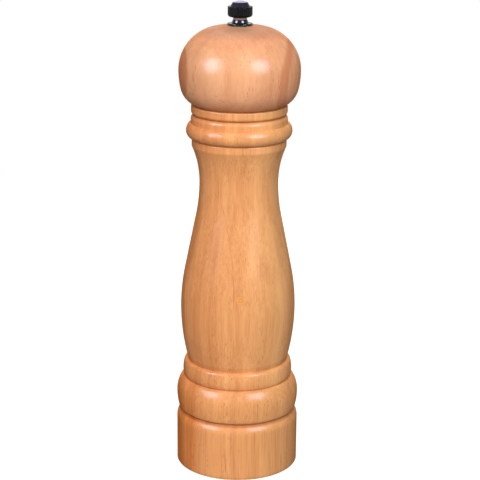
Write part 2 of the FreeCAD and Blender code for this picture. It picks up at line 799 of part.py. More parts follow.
# Keeper: a plain snapped-in ring below the ring burr.
def stator_retaining_ring():
    section = box_outline("stator_radius - keeper_width", "stator_radius", "keeper_level", "stator_level")
    return turned("stator_retaining_ring", section)


# Cone burr: a fired ceramic cone with fine leaning teeth below and a few deep feed flutes above.
def rotor():
    outline = Outline("rotor_bore", "rotor_level")
    outline.line("rotor_widest - rotor_skirt_edge", "rotor_level")
    outline.line("rotor_widest", "rotor_widest_level")
    outline.line("rotor_throat", "throat_level")
    outline.line("rotor_top_radius", "rotor_top")
    outline.line("rotor_bore", "rotor_top")
    body = turned("rotor", outline.close())
    overrun = "rotor_tooth_depth"
    low = (f"(rotor_widest + grind_slope * {overrun})", f"rotor_widest_level - {overrun}")
    high = (f"(rotor_throat - grind_slope * {overrun})", f"throat_level + {overrun}")
    half = "(90 / tooth_count)"
    tooth = lean_cut(body, "cone_tooth", low, high, "rotor_tooth_depth", half, "tooth_lean", "1")
    repeated(body, tooth, "cone_teeth", "tooth_count")
    nose_slope = "((rotor_throat - rotor_top_radius) / rotor_nose_height)"
    low = ("rotor_throat", "throat_level")
    high = (f"(rotor_top_radius - {nose_slope} * flute_depth)", "rotor_top + flute_depth")
    half = "(60 / flute_count)"
    flute = lean_cut(body, "feed_flute", low, high, "flute_depth", half, "flute_lean", "1")
    repeated(body, flute, "feed_flutes", "flute_count")
    return body


# Hub: the plastic core of the cone burr, square inside, whose top end seats the spring.
def rotor_hub():
    hub = turned("rotor_hub", box_outline("thread_radius", "hub_radius", "rotor_level", "hub_top"))
    cut_from_above(hub, "hub_square", "hub_top", "hub_top - rotor_level", [square_outline("square_hole")])
    return hub


# Washer and clip: they hold the cone burr up on the shaft's turned end.
def rotor_washer():
    bore = "stub_radius + thread_clearance"
    return turned("rotor_washer", box_outline(bore, "washer_radius", "washer_level", "rotor_level"))


def retaining_clip():
    inner = "clip_groove_radius + clip_clearance"
    clip = turned("retaining_clip", box_outline(inner, "clip_radius", "clip_level", "washer_level"))
    mouth = box_outline("0", "2 * clip_radius", "-clip_gap_width / 2", "clip_gap_width / 2")
    cut_from_above(clip, "clip_mouth", "washer_level", "clip_thickness", [mouth])
    return clip


# Bush: turns in the bridge with the shaft, and its flange takes the spring's thrust.
def shaft_bush():
    outline = Outline("thread_radius", "bush_level")
    outline.line("bush_flange_radius", "bush_level")
    outline.line("bush_flange_radius", "bush_seat")
    outline.line("bush_radius", "bush_seat")
    outline.line("bush_radius", "housing_top")
    outline.line("thread_radius", "housing_top")
    body = turned("shaft_bush", outline.close())
    square = square_outline("square_hole")
    cut_from_above(body, "bush_square", "housing_top", "housing_top - bush_level", [square])
    return body


# Spring: an open coil of round wire between the hub and the bush.
def rotor_spring():
    helix = doc.addObject("Part::Helix", "spring_path")
    helix.setExpression("Radius", bound("spring_radius"))
    helix.setExpression("Height", bound("spring_top - spring_bottom"))
    helix.setExpression("Pitch", bound("(spring_top - spring_bottom) / spring_turns"))
    helix.setExpression("Placement.Base.z", bound("spring_bottom"))
    wire = doc.addObject("Part::Circle", "spring_section")
    wire.setExpression("Radius", bound("spring_wire / 2"))
    wire.setExpression("Placement.Base.x", bound("spring_radius"))
    wire.setExpression("Placement.Base.z", bound("spring_bottom"))
    wire.Placement.Rotation = FreeCAD.Rotation(FreeCAD.Vector(1, 0, 0), 90)
    doc.recompute()
    spring = doc.addObject("Part::Sweep", "rotor_spring")
    spring.Label = "rotor_spring"
    spring.Sections = [wire]
    spring.Spine = (helix, ["Edge1"])
    spring.Solid = True
    spring.Frenet = True
    doc.recompute()
    return spring


def on_circle(radius, count):
    return [polar(radius, f"({360 * number} / {count})") for number in range(int(value(count)))]


nodes = [
    mill_body(),
    grinder_housing(),
    screw_group("housing_screws", "recess_depth", "housing_screw",
                on_circle("housing_screw_circle", "housing_screw_count")),
    stator(),
    stator_retaining_ring(),
    shaft_bush(),
    rotor_spring(),
    drive_shaft(),
    rotor_hub(),
    rotor(),
    rotor_washer(),
    retaining_clip(),
    mill_head(),
    drive_plate(),
    screw_group("drive_plate_screws", "plate_level", "plate_screw",
                [(f"{side} * plate_screw_reach", 0) for side in (-1, 1)]),
    head_collar(),
    knob_insert(),
    adjusting_knob(),
]
doc.recompute()

for item in doc.Objects:
    if "Invalid" in item.State or "Error" in item.State:
        raise RuntimeError(f"{item.Label} failed: {item.State}")
for node in nodes:
    if node.Shape.isNull() or not node.Shape.isValid():
        raise RuntimeError(f"{node.Label} has no valid shape")

os.makedirs("parts", exist_ok=True)
for node in nodes:
    node.Shape.exportStep(f"parts/{node.Label}.step")
    box = node.Shape.BoundBox
    print(f"{node.Label}: {len(node.Shape.Solids)} solids, {node.Shape.Volume:.1f} mm3, "
          f"z {box.ZMin:.2f} to {box.ZMax:.2f}, radius {box.XMax:.2f}")
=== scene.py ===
import math

import bpy
import numpy as np
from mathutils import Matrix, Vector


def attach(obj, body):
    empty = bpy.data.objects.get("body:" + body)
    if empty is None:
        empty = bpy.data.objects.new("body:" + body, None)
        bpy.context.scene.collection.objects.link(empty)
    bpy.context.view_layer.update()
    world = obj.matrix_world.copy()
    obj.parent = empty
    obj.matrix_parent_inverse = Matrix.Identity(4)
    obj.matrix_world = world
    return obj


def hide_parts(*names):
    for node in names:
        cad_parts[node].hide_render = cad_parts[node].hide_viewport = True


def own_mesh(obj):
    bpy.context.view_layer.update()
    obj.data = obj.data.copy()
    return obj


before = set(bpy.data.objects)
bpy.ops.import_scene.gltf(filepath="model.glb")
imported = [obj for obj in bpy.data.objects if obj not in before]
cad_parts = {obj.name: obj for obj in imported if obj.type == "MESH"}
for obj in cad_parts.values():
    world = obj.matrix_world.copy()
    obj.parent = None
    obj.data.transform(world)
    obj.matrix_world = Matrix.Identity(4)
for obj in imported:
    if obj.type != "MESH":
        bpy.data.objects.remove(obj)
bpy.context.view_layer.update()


# Mill body: one length of pale hardwood turned into plinth, beads, vase and neck, and lacquered satin.
# It is bored right through for the peppercorns and counterbored below for the grinder, which is
# screwed up into it.

MM = 0.001
AROUND = 192
SHARP = math.radians(32)


def arc(centre, start, end, count):
    """Points round a centre from start to end the short way, with angle and radius both going evenly."""
    spokes = np.array([start, end], float) - centre
    angles = np.arctan2(spokes[:, 1], spokes[:, 0])
    swing = (angles[1] - angles[0] + np.pi) % (2 * np.pi) - np.pi
    share = np.linspace(0, 1, count)
    lengths = np.hypot(*spokes.T)
    radius = lengths[0] + (lengths[1] - lengths[0]) * share
    angle = angles[0] + swing * share
    return np.asarray(centre) + np.column_stack((radius * np.cos(angle), radius * np.sin(angle)))


def arc_radius(sag, reach):
    """The radius of an arc that has bent away by sag where it has run on by reach."""
    return (sag**2 + reach**2) / (2 * sag)


def arc_reach(sag, radius):
    """How far an arc of this radius has run on where it has bent away by sag."""
    return math.sqrt(sag * (2 * radius - sag))


def quarter_oval(groove, widest, edge, count=14):
    """Half of a bead's section, from its groove to its widest place: an arc of the edge radius, level at
    the groove, runs smoothly into a crown arc, upright at the widest place. For a rise a, a swell b and
    an edge e the crown's radius is (b^2 + a^2 - 2ae) / 2(b - e)."""
    groove, widest = np.array(groove), np.array(widest)
    swell, rise = np.abs(widest - groove)
    crown = (swell**2 + rise**2 - 2 * rise * edge) / (2 * (swell - edge))
    crown_centre = widest - (crown, 0)
    edge_centre = groove + (0, edge * np.sign(widest[1] - groove[1]))
    meet = crown_centre + (edge_centre - crown_centre) * crown / (crown - edge)
    edge_arc = arc(edge_centre, groove, meet, count)
    return np.vstack((edge_arc, arc(crown_centre, meet, widest, count)[1:]))


def straight(start, end, count):
    """Evenly spaced points on a line, without its first."""
    return np.linspace(start, end, count + 1)[1:]


def round_points(radius, turn, level):
    """A grid of points [row, column, xyz] in metres, from radii [row, column] or [row, 1] and levels [row]
    in millimetres and angles [column]: x = r cos t, y = r sin t, z = level."""
    radius, turn, level = np.broadcast_arrays(radius, turn, level[:, None])
    return np.stack((radius * np.cos(turn), radius * np.sin(turn), level), axis=-1) * MM


def grid_mesh(name, points, tips=()):
    """A mesh of quads over a grid of points [row, column, xyz] in metres, whose columns join up. Its rows
    join up too, or are closed at both ends by a fan round a tip. Faces look along the column direction x
    the row direction."""
    rows, columns = points.shape[:2]
    index = np.arange(rows * columns).reshape(rows, columns)
    index = np.hstack((index, index[:, :1]))
    corners = points.reshape(-1, 3)
    fans = []
    if len(tips):
        corners = np.vstack((corners, tips))
        first, last = np.full((2, columns), ((rows * columns,), (rows * columns + 1,)))
        fans = np.column_stack((first, index[0, 1:], index[0, :-1])).tolist()
        fans += np.column_stack((last, index[-1, :-1], index[-1, 1:])).tolist()
    else:
        index = np.vstack((index, index[:1]))
    quads = (index[:-1, :-1], index[:-1, 1:], index[1:, 1:], index[1:, :-1])
    mesh = bpy.data.meshes.new(name)
    mesh.from_pydata(corners.tolist(), [], np.stack(quads, axis=-1).reshape(-1, 4).tolist() + fans)
    mesh.shade_smooth()
    mesh.set_sharp_from_angle(angle=SHARP)
    return mesh


def turned_mesh(name, outline, around=AROUND):
    """A closed outline of (radius, level) in millimetres carried round Z."""
    radius, level = outline.T
    turn = np.linspace(0, 2 * np.pi, around, endpoint=False)
    return grid_mesh(name, round_points(radius[:, None], turn, level))


def mark_grooves(mesh, outline, near=3.0):
    """Keeps on each point of a turned mesh how deep it lies in a groove, as "hollow", in millimetres: the
    lesser of how far the wood stands out near below it and near above it."""
    radius, level = outline.T
    rise = level[None] - level[:, None]
    outer = np.arange(len(level)) <= np.argmax(level)
    proud = np.where((np.abs(rise) < near) & outer[None], radius[None] - radius[:, None], 0.0)
    below, above = np.where(rise <= 0, proud, 0.0).max(1), np.where(rise >= 0, proud, 0.0).max(1)
    depth = np.where(outer, np.minimum(below, above), 0.0)
    hollow = mesh.attributes.new("hollow", "FLOAT", "POINT")
    hollow.data.foreach_set("value", np.repeat(depth, AROUND).astype(np.float32))
    return mesh


def add_piece(mesh, material, body, slot, *nodes):
    """Puts a finished mesh into the scene, riding on its body and standing for its CAD nodes."""
    piece = bpy.data.objects.new(mesh.name, mesh)
    bpy.context.collection.objects.link(piece)
    mesh.materials.append(material)
    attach(piece, body)
    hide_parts(*nodes)
    return piece


def body_outline():
    """The body's section in millimetres, up the outside and down the bore. Between belly and waist a
    straight flank touches both arcs, whose radii add up to (d^2 + c^2 - f^2) / 2d for a draw-in d, a
    climb c and a flank f."""
    base, foot_edge, plinth_round, plinth_cut = 30.0, 0.5, 6.3, 2.85
    rim_middle, foot_edge_middle = 27.4, (29.82, 0.16)
    plinth_groove = (base - plinth_cut, 28.2)
    foot_bead, foot_bead_lower, foot_bead_upper = (29.95, 36.6), 2.1, 2.5
    ring_groove = (25.7, 45.1)
    ring, ring_lower, ring_upper = (26.85, 48.1), 0.7, 1.9
    vase_foot, belly, waist = (24.43, 53.75), (27.93, 80.35), (18.94, 143.15)
    flank, belly_share = 26.9, 0.54
    lip, lip_cut = (22.64, 160.65), 0.72
    collar_groove = (lip[0] - lip_cut, 164.05)
    bead, bead_lower, bead_upper = (25.32, 167.95), 2.0, 1.5
    neck, neck_cut, neck_edge = (23.07, 171.7), 1.5, 2.4
    band_groove = (neck[0] - neck_cut, 175.85)
    band, band_swell, band_edge, rim_edge, top = 22.95, 1.38, 1.6, 0.4, 180.05
    mouth, mouth_edge, counterbore, counterbore_top = 14.0, 0.6, 19.2, 27.7
    recess, recess_top = 25.2, 5.0

    shoulder = plinth_groove[1] - arc_reach(plinth_cut, plinth_round)
    draw_in, climb = belly[0] - waist[0], waist[1] - belly[1]
    curves = (draw_in**2 + climb**2 - flank**2) / (2 * draw_in)
    belly_curve = belly_share * curves
    waist_curve = curves - belly_curve
    lean = math.atan(climb / (curves - draw_in)) - math.atan(flank / curves)
    away, along = 1 - math.cos(lean), math.sin(lean)
    flank_foot = (belly[0] - belly_curve * away, belly[1] + belly_curve * along)
    flank_head = (waist[0] + waist_curve * away, waist[1] - waist_curve * along)
    lower_curve = arc_radius(belly[0] - vase_foot[0], belly[1] - vase_foot[1])
    flare_curve = arc_radius(lip[0] - waist[0], lip[1] - waist[1])
    lip_top = collar_groove[1] - lip_cut
    neck_top = band_groove[1] - arc_reach(neck_cut, neck_edge)
    band_foot = band_groove[1] + arc_reach(band_swell, band_edge)
    outside = [
        [(recess, 0.0), (rim_middle, 0.0), (base - foot_edge, 0.0), foot_edge_middle],
        [(base, foot_edge)],
        straight((base, foot_edge), (base, shoulder), 16),
        arc((base - plinth_round, shoulder), (base, shoulder), plinth_groove, 16)[1:],
        quarter_oval(plinth_groove, foot_bead, foot_bead_lower)[1:],
        quarter_oval(ring_groove, foot_bead, foot_bead_upper)[::-1][1:],
        quarter_oval(ring_groove, ring, ring_lower)[1:],
        quarter_oval(vase_foot, ring, ring_upper)[::-1][1:],
        arc((belly[0] - lower_curve, belly[1]), vase_foot, belly, 26)[1:],
        arc((belly[0] - belly_curve, belly[1]), belly, flank_foot, 18)[1:],
        straight(flank_foot, flank_head, 14),
        arc((waist[0] + waist_curve, waist[1]), flank_head, waist, 18)[1:],
        arc((waist[0] + flare_curve, waist[1]), waist, lip, 22)[1:],
        straight(lip, (lip[0], lip_top), 4),
        arc((collar_groove[0], lip_top), (lip[0], lip_top), collar_groove, 8)[1:],
        quarter_oval(collar_groove, bead, bead_lower)[1:],
        quarter_oval(neck, bead, bead_upper)[::-1][1:],
        straight(neck, (neck[0], neck_top), 4),
        arc((neck[0] - neck_edge, neck_top), (neck[0], neck_top), band_groove, 10)[1:],
        arc((band - band_edge, band_foot), band_groove, (band, band_foot), 10)[1:],
        straight((band, band_foot), (band, top - rim_edge), 4),
        arc((band - rim_edge, top - rim_edge), (band, top - rim_edge), (band - rim_edge, top), 6)[1:],
    ]
    inside = [
        straight((band - rim_edge, top), (mouth + mouth_edge, top), 6),
        straight((mouth + mouth_edge, top), (mouth, top - mouth_edge), 2),
        straight((mouth, top - mouth_edge), (mouth, counterbore_top), 30),
        straight((mouth, counterbore_top), (counterbore, counterbore_top), 3),
        straight((counterbore, counterbore_top), (counterbore, recess_top), 6),
        straight((counterbore, recess_top), (recess, recess_top), 3),
        straight((recess, recess_top), (recess, 0.0), 3)[:-1],
    ]
    return np.vstack(outside + inside)


def feed(tree, socket, value):
    """Links an input to another node's output, or sets its value."""
    if isinstance(value, bpy.types.NodeSocket):
        tree.links.new(value, socket)
    else:
        socket.default_value = value


def put(tree, kind, *, out=0, sets=(), **wires):
    """Adds a shader node: sets are its settings, and each wire names an input (i and its number, or its
    own name) and gives a value or another node's output. Gives back one of its outputs."""
    node = tree.nodes.new(kind)
    for name, value in dict(sets).items():
        setattr(node, name, value)
    for name, value in wires.items():
        numbered = name[0] == "i" and name[1:].isdigit()
        feed(tree, node.inputs[int(name[1:]) if numbered else name.replace("_", " ")], value)
    return node.outputs[out]


def calc(tree, operation, first, second=0.0, third=0.0):
    """A sum on values."""
    return put(tree, "ShaderNodeMath", sets={"operation": operation}, i0=first, i1=second, i2=third)


def product(tree, first, *others):
    """Values multiplied together."""
    for other in others:
        first = calc(tree, "MULTIPLY", first, other)
    return first


def shifted(tree, value, by, gain, onto):
    """(value - by) gain + onto."""
    return calc(tree, "MULTIPLY_ADD", calc(tree, "SUBTRACT", value, by), gain, onto)


def vector(tree, operation, first, second):
    """A sum on vectors."""
    return put(tree, "ShaderNodeVectorMath", sets={"operation": operation}, i0=first, i1=second)


def in_millimetres(tree, place):
    """A place in metres as one in millimetres."""
    scale = {"operation": "SCALE"}
    return put(tree, "ShaderNodeVectorMath", sets=scale, i0=place, Scale=1 / MM)


def from_axis(tree, place):
    """How far a point is from the Z axis."""
    flat = vector(tree, "MULTIPLY", place, (1.0, 1.0, 0.0))
    return put(tree, "ShaderNodeVectorMath", out=1, sets={"operation": "LENGTH"}, i0=flat)


def noise(tree, place, stretch, detail, roughness=0.5, out=0):
    """Noise about a half, with as many waves to the unit along each axis as stretch says."""
    return put(
        tree, "ShaderNodeTexNoise", out=out, Vector=vector(tree, "MULTIPLY", place, stretch),
        Scale=1.0, Detail=detail, Roughness=roughness,
    )


def ramp(tree, value, low, high, to_low=0.0, to_high=1.0):
    """A smooth step of a value from one range to another, held at its ends."""
    return put(
        tree, "ShaderNodeMapRange", sets={"interpolation_type": "SMOOTHSTEP"},
        Value=value, From_Min=low, From_Max=high, To_Min=to_low, To_Max=to_high,
    )


def blend_colour(tree, share, first, second, how="MIX"):
    """Two colours mixed by a share of the second."""
    sets = {"data_type": "RGBA", "blend_type": how}
    return put(tree, "ShaderNodeMix", out=2, sets=sets, i0=share, i6=first, i7=second)


def tint(tree, share, colour, tint_colour):
    """A colour multiplied by another, by a share."""
    return blend_colour(tree, share, colour, tint_colour, "MULTIPLY")


def paint(red, green, blue):
    """A colour as it looks on a screen, 0 to 255, as the linear colour that shaders use."""
    share = np.array((red, green, blue)) / 255
    linear = np.where(share <= 0.04045, share / 12.92, ((share + 0.055) / 1.055) ** 2.4)
    return (*linear.tolist(), 1.0)


def new_group(name, inputs, outputs):
    """An empty shader node group, with its sockets given as {name: kind}; gives back the group, what it
    is given and what it puts out."""
    tree = bpy.data.node_groups.new(name, "ShaderNodeTree")
    for sockets, way in ((inputs, "INPUT"), (outputs, "OUTPUT")):
        for socket, kind in sockets.items():
            tree.interface.new_socket(socket, in_out=way, socket_type="NodeSocket" + kind)
    return tree, tree.nodes.new("NodeGroupInput").outputs, tree.nodes.new("NodeGroupOutput").inputs


def wood_figure_group():
    """Lacquered hardwood with its grain along Z, in millimetres: strips of slightly different tone some
    8 mm wide, growth rings about a pith outside the piece, fibre streaks under 1 mm wide and a few
    centimetres long, and dark pores, short or drawn out into lines, that end as dots where the surface
    cuts across the grain."""
    tree, given, result = new_group(
        "wood_figure",
        {"Position": "Vector", "Pale": "Color", "Deep": "Color", "Pore": "Color",
         "Seed": "Float", "Figure": "Float", "Pores": "Float"},
        {"Color": "Color", "Roughness": "Float", "Height": "Float"},
    )
    seed_slant, drift_waves, wander = 0.61, (0.03, 0.03, 0.008), (6.0, 6.0, 0.0)
    pith, ring_waves, ring_gain = (-74.0, 58.0, 0.0), 1.9, 0.1
    strip_waves, strip_gain = (0.12, 0.12, 0.004), 1.8
    fibre_waves, fibre_gain = (1.7, 1.7, 0.035), 1.0
    streak_waves, streak_range, streak_gain = (1.9, 1.9, 0.035), (0.54, 0.74), 0.28
    tone_shift, middle_tone = -0.06, 0.42
    pore_cells, dot_range, chosen_range = (1.35, 1.35, 0.3), (0.36, 0.12), (0.55, 0.95)
    line_waves, line_range, line_share = (2.5, 2.5, 0.07), (0.60, 0.76), (0.0, 0.8)
    patch_waves, patch_range, patch_share = (0.14, 0.14, 0.02), (0.36, 0.62), (0.1, 1.0)
    smooth, fibre_rough, pore_rough, fibre_height, pore_height = 0.32, 0.12, 0.16, 0.25, -1.0

    seed = given["Seed"]
    shift = put(tree, "ShaderNodeCombineXYZ", X=seed, Y=calc(tree, "MULTIPLY", seed, seed_slant))
    place = vector(tree, "ADD", in_millimetres(tree, given["Position"]), shift)
    drift = noise(tree, place, drift_waves, detail=2.0, out=1)
    drift = vector(tree, "SUBTRACT", drift, (0.5, 0.5, 0.5))
    grain = vector(tree, "ADD", place, vector(tree, "MULTIPLY", drift, wander))

    strip = noise(tree, grain, strip_waves, detail=2.0)
    streak = ramp(tree, noise(tree, grain, streak_waves, detail=2.0), *streak_range)
    reach = from_axis(tree, vector(tree, "ADD", grain, pith))
    wave = calc(tree, "SINE", calc(tree, "MULTIPLY", reach, ring_waves))
    ring = calc(tree, "MULTIPLY_ADD", wave, 0.5, 0.5)
    fibre = noise(tree, grain, fibre_waves, detail=3.0, roughness=0.65)
    tone = shifted(tree, strip, 0.5, strip_gain, tone_shift)
    tone = shifted(tree, ring, 0.5, ring_gain, tone)
    tone = shifted(tree, fibre, 0.5, fibre_gain, tone)
    tone = calc(tree, "MULTIPLY_ADD", streak, streak_gain, tone)
    tone = put(
        tree, "ShaderNodeMath", sets={"operation": "MULTIPLY_ADD", "use_clamp": True},
        i0=tone, i1=given["Figure"], i2=middle_tone,
    )

    cell = tree.nodes.new("ShaderNodeTexVoronoi")
    cell.inputs["Scale"].default_value = 1.0
    tree.links.new(vector(tree, "MULTIPLY", grain, pore_cells), cell.inputs["Vector"])
    chosen = put(tree, "ShaderNodeSeparateColor", i0=cell.outputs["Color"])
    chosen = ramp(tree, chosen, *chosen_range)
    dot = calc(tree, "MULTIPLY", ramp(tree, cell.outputs["Distance"], *dot_range), chosen)
    line = ramp(tree, noise(tree, grain, line_waves, detail=1.0), *line_range, *line_share)
    patch = ramp(tree, noise(tree, grain, patch_waves, detail=1.0), *patch_range, *patch_share)
    pore = product(tree, calc(tree, "MAXIMUM", dot, line), patch, given["Pores"])

    colour = blend_colour(tree, tone, given["Pale"], given["Deep"])
    tree.links.new(blend_colour(tree, pore, colour, given["Pore"]), result["Color"])
    rough = calc(tree, "MULTIPLY_ADD", fibre, fibre_rough, smooth)
    tree.links.new(calc(tree, "MULTIPLY_ADD", pore, pore_rough, rough), result["Roughness"])
    height = calc(tree, "MULTIPLY", fibre, fibre_height)
    tree.links.new(calc(tree, "MULTIPLY_ADD", pore, pore_height, height), result["Height"])
    return tree


def new_material(name):
    """A new material; gives back material, node tree and its Principled shader."""
    material = bpy.data.materials.new(name)
    material.use_nodes = True
    tree = material.node_tree
    return material, tree, tree.nodes["Principled BSDF"]


def own_place(tree):
    """A point in the object's own frame."""
    return put(tree, "ShaderNodeTexCoord", out=3)


def raise_surface(tree, shader, height, depth):
    """Bump from a height, the depth being how far its full range stands out, in metres."""
    bump = put(tree, "ShaderNodeBump", Strength=1.0, Distance=depth, Height=height)
    tree.links.new(bump, shader.inputs["Normal"])


def wood_finish(tree, shader, position, bare, wood):
    """The wood group wired to a lacquered shader, whose thin satin coat fades out at a low angle, with raw
    wood, paler and dry, where bare is 1. wood holds the group's own values by name. Gives back the
    colour."""
    raw_colour, raw_share, raw_roughness = paint(232, 190, 142), 0.5, 0.25
    coat_range, coat_share, grain_depth = (0.40, 0.80), (0.21, 0.01), 0.04 * MM
    group = tree.nodes.new("ShaderNodeGroup")
    group.node_tree = bpy.data.node_groups.get("wood_figure") or wood_figure_group()
    tree.links.new(position, group.inputs["Position"])
    for name, value in wood.items():
        feed(tree, group.inputs[name], value)
    rough = calc(tree, "MULTIPLY_ADD", bare, raw_roughness, group.outputs["Roughness"])
    tree.links.new(rough, shader.inputs["Roughness"])
    raise_surface(tree, shader, group.outputs["Height"], grain_depth)
    shader.inputs["IOR"].default_value = 1.5
    shader.inputs["Specular IOR Level"].default_value = 0.0
    shader.inputs["Coat Roughness"].default_value = 0.28
    low_angle = put(tree, "ShaderNodeLayerWeight", out=1, Blend=0.5)
    coat = ramp(tree, low_angle, *coat_range, *coat_share)
    coat = calc(tree, "MULTIPLY", coat, calc(tree, "SUBTRACT", 1.0, bare))
    tree.links.new(coat, shader.inputs["Coat Weight"])
    raw = calc(tree, "MULTIPLY", bare, raw_share)
    return blend_colour(tree, raw, group.outputs["Color"], raw_colour)


def body_wood():
    """The body's wood: the shared figure, pinker on its left and yellower on its right. It is browner and
    darker at the left of its foot and in a band at each side of the blank, partly in the wood's own tone,
    where a board is glued on at each side, and partly as painted shade on the sides. The turned grooves
    are darkened, partly by stain and partly as painted shade. The grain parts round a small pin knot on
    the front of the belly, and one dark vein runs down the front of the vase, along
    x = -3.1 h^2 - 0.115 h for a height h above its middle. The bores and the mouth's rim are raw."""
    pale, deep, pore = paint(248, 181, 120), paint(207, 132, 79), paint(140, 78, 42)
    pink, yellow, left_foot_tone_and_shade = paint(253, 238, 228), paint(247, 250, 248), paint(250, 230, 192)
    groove_stain_and_shade, side_board_tone_and_shade = paint(196, 172, 156), paint(230, 214, 204)
    knot_heart, knot_swirl, vein_brown = paint(246, 170, 84), paint(186, 112, 48), paint(158, 86, 42)
    front_range, bore_wall, mouth_rim = (-0.012, -0.020), (0.0146, 0.0142), (0.1797, 0.1800)
    recess_wall, recess_roof = (0.0258, 0.0254), (0.0284, 0.0279)
    pores_range, pores_share = (0.050, 0.066), (0.55, 0.38)
    waver_waves, tint_waver, board_waver = (40.0, 40.0, 6.0), 0.03, 0.002
    pink_side, yellow_side = (-0.004, -0.024), (0.004, 0.022)
    foot_side, foot_range = (-0.016, -0.026), (0.060, 0.028)
    groove_darkening_range, groove_darkening_share = (0.1, 1.1), (0.0, 0.6)
    right_board, left_board = (0.0244, 0.0248), (-0.0257, -0.0261)
    board_range, board_share = (0.048, 0.066), (0.45, 0.3)
    knot_x, knot_z, parting_fall, parting_gain = 0.0012, 0.0914, -0.22, -0.0008
    heart_range, heart_share = (2.3, 1.1), 0.55
    swirl_radius, swirl_range, swirl_share = 0.9, (0.5, 0.1), 0.35
    vein_middle, vein_bow, vein_lean, vein_wander, vein_side = 0.1107, -3.1, -0.115, 0.0016, -0.0039
    wander_waves, vein_width = (0.0, 0.0, 90.0), (0.00042, 0.00006)
    vein_foot, vein_head = (0.072, 0.080), (0.140, 0.132)
    vein_breaks, vein_share = (0.38, 0.62), (0.04, 0.40)

    material, tree, shader = new_material("body_wood")
    place = own_place(tree)
    x, y, z = (put(tree, "ShaderNodeSeparateXYZ", out=axis, i0=place) for axis in range(3))
    front = ramp(tree, y, *front_range)
    across = calc(tree, "MULTIPLY", calc(tree, "SUBTRACT", x, knot_x), 1 / MM)
    along = calc(tree, "MULTIPLY", calc(tree, "SUBTRACT", z, knot_z), 1 / MM)
    square = calc(tree, "MULTIPLY_ADD", across, across, calc(tree, "MULTIPLY", along, along))
    from_knot = calc(tree, "SQRT", square)
    parting = calc(tree, "EXPONENT", calc(tree, "MULTIPLY", from_knot, parting_fall))
    parting = product(tree, parting, across, parting_gain, front)
    parting = put(tree, "ShaderNodeCombineXYZ", X=parting)

    radius = from_axis(tree, place)
    recess = product(tree, ramp(tree, radius, *recess_wall), ramp(tree, z, *recess_roof))
    bare = calc(tree, "MAXIMUM", recess, ramp(tree, radius, *bore_wall))
    bare = calc(tree, "MAXIMUM", bare, ramp(tree, z, *mouth_rim))
    colour = wood_finish(
        tree, shader, vector(tree, "ADD", place, parting), bare,
        {"Pale": pale, "Deep": deep, "Pore": pore, "Seed": 23.0, "Figure": 0.9,
         "Pores": ramp(tree, z, *pores_range, *pores_share)},
    )

    waver = noise(tree, place, waver_waves, detail=2.0)
    side = shifted(tree, waver, 0.5, tint_waver, x)
    colour = tint(tree, ramp(tree, side, *pink_side), colour, pink)
    colour = tint(tree, ramp(tree, side, *yellow_side), colour, yellow)
    # Browner and darker at the left of the foot: partly the wood's tone, partly painted shade on that
    # side.
    low_left = product(tree, ramp(tree, side, *foot_side), ramp(tree, z, *foot_range))
    colour = tint(tree, low_left, colour, left_foot_tone_and_shade)
    # The turned grooves darken by their depth: partly stain that collects there, partly painted shade.
    groove = put(tree, "ShaderNodeAttribute", out=2, sets={"attribute_name": "hollow"})
    colour = tint(tree, ramp(tree, groove, *groove_darkening_range, *groove_darkening_share), colour, groove_stain_and_shade)
    # A browner band at each side of the blank: partly a glued-on board's tone, partly painted shade on the
    # sides.
    edge = shifted(tree, waver, 0.5, board_waver, x)
    board = calc(tree, "MAXIMUM", ramp(tree, edge, *right_board), ramp(tree, edge, *left_board))
    board = calc(tree, "MULTIPLY", board, ramp(tree, z, *board_range, *board_share))
    colour = tint(tree, board, colour, side_board_tone_and_shade)

    heart = product(tree, ramp(tree, from_knot, *heart_range), front, heart_share)
    swirl = calc(tree, "ABSOLUTE", calc(tree, "SUBTRACT", from_knot, swirl_radius))
    swirl = product(tree, ramp(tree, swirl, *swirl_range), front, swirl_share)
    colour = blend_colour(tree, heart, colour, knot_heart)
    colour = blend_colour(tree, swirl, colour, knot_swirl)

    wander = noise(tree, place, wander_waves, detail=3.0)
    rise = calc(tree, "SUBTRACT", z, vein_middle)
    lean = calc(tree, "MULTIPLY", rise, vein_lean)
    path = calc(tree, "MULTIPLY_ADD", calc(tree, "MULTIPLY", rise, rise), vein_bow, lean)
    path = calc(tree, "ADD", path, calc(tree, "MULTIPLY_ADD", wander, vein_wander, vein_side))
    vein = calc(tree, "ABSOLUTE", calc(tree, "SUBTRACT", x, path))
    vein = product(
        tree, ramp(tree, vein, *vein_width), front, ramp(tree, z, *vein_foot),
        ramp(tree, z, *vein_head), ramp(tree, wander, *vein_breaks, *vein_share),
    )
    colour = blend_colour(tree, vein, colour, vein_brown)
    tree.links.new(colour, shader.inputs["Base Color"])
    return material


body_section = body_outline()
turned_body = mark_grooves(turned_mesh("turned_body", body_section), body_section)
add_piece(turned_body, body_wood(), "mill_body", "body_wood", "mill_body")


# Grinder housing: a cup moulded in black nylon with fine spark-eroded texture, whose flange is held up
# into the foot by three screws. A plain ring of the same plastic snaps in below the ring burr, and the
# cone burr's hub is moulded in it too.

def surface_mottle_group():
    """Slow and fine unevenness of a surface in millimetres, stretched along each axis by Scale: Tone is
    slow, Grain is fine, and both run from 0 to 1 about a half."""
    tree, given, result = new_group(
        "surface_mottle", {"Position": "Vector", "Scale": "Vector"}, {"Tone": "Float", "Grain": "Float"},
    )
    place = vector(tree, "MULTIPLY", in_millimetres(tree, given["Position"]), given["Scale"])
    for name, waves in (("Tone", 0.16), ("Grain", 2.4)):
        uneven = put(tree, "ShaderNodeTexNoise", Vector=place, Scale=waves, Detail=2.0)
        tree.links.new(uneven, result[name])
    return tree


def mottle(tree, scale=(1.0, 1.0, 1.0)):
    """Places the mottle group in a material; gives back its tone and its grain."""
    group = tree.nodes.new("ShaderNodeGroup")
    group.node_tree = bpy.data.node_groups.get("surface_mottle") or surface_mottle_group()
    tree.links.new(own_place(tree), group.inputs["Position"])
    group.inputs["Scale"].default_value = scale
    return group.outputs["Tone"], group.outputs["Grain"]


